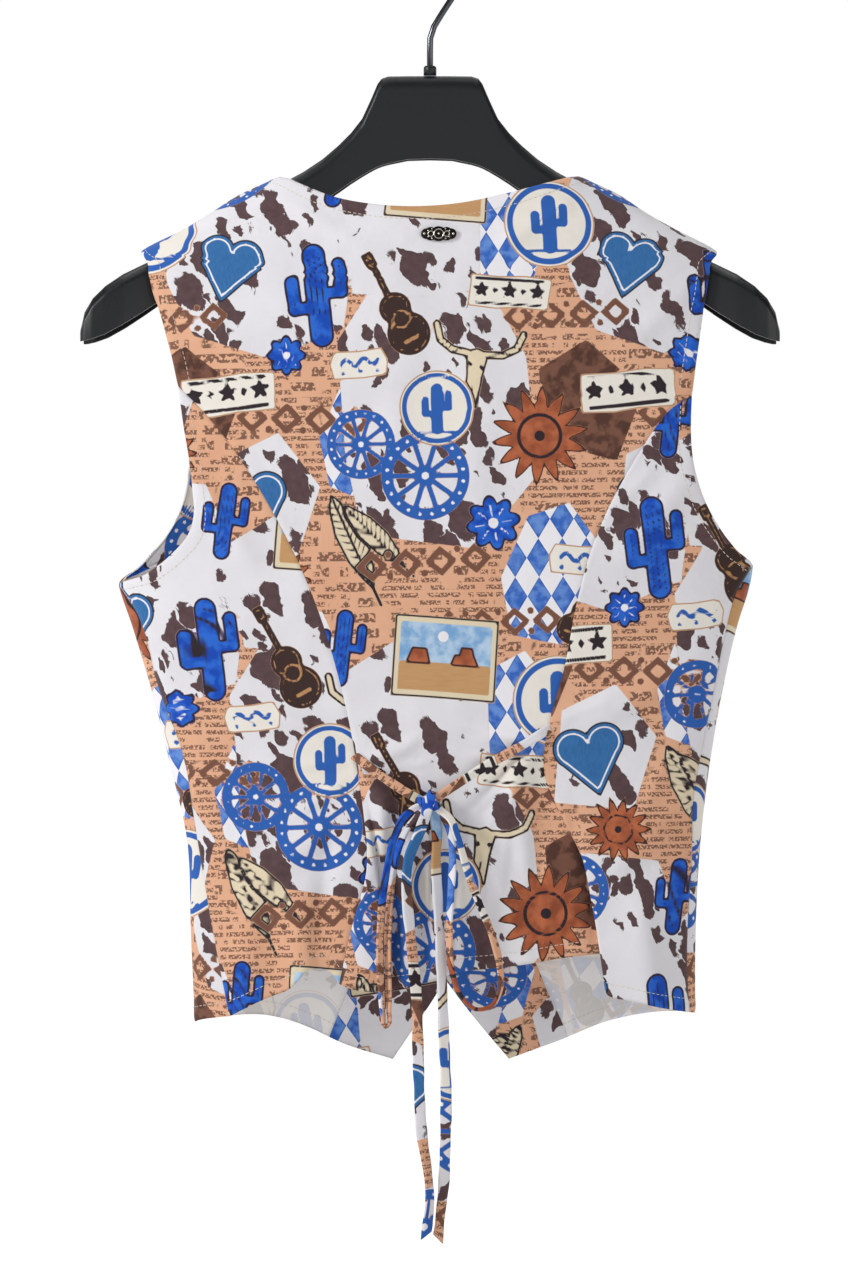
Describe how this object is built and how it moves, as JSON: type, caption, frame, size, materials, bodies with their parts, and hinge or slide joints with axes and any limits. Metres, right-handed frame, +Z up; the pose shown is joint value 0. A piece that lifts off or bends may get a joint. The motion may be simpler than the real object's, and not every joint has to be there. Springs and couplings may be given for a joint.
{
  "type": "western vest on a plastic hanger",
  "caption": "Sleeveless waist-length vest with princess seams, a V neck, pointed fronts and a waist tie at the back, hanging on a black contoured plastic hanger with a metal hook.",
  "frame": {"origin": "inner top of the hanger's hook, where a rail carries it", "axes": "+Z is up, +X runs along the hanger to the right as seen from the garment's back, the garment's back faces -Y and its buttoned front faces +Y"},
  "size_m": [0.4404, 0.0949, 0.8252],
  "materials": {
    "printed_cloth": "soft matt woven cloth with a collage print",
    "printed_tie": "soft matt woven cloth",
    "button_plastic": "polished",
    "ornament_metal": "dark satin metal",
    "hanger_plastic": "satin black, fine grain",
    "hook_metal": "black chrome"
  },
  "bodies": {
    "root": {"back_centre": "printed_cloth", "back_side_left": "printed_cloth", "back_side_right": "printed_cloth", "front_left": "printed_cloth", "front_right": "printed_cloth", "front_facing_left": "printed_cloth", "front_facing_right": "printed_cloth", "armhole_facing_left": "printed_cloth", "armhole_facing_right": "printed_cloth", "tie_strap_left": "printed_tie", "tie_strap_right": "printed_tie", "tie_loop_left": "printed_tie", "tie_loop_right": "printed_tie", "tie_tail_left": "printed_tie", "tie_tail_right": "printed_tie", "tie_knot": "printed_tie", "button_1": "button_plastic", "button_2": "button_plastic", "button_3": "button_plastic", "button_4": "button_plastic", "neck_ornament": "ornament_metal", "hanger": "hanger_plastic", "hook_collar": "hanger_plastic", "hook": "hook_metal"}
  },
  "joints": []
}
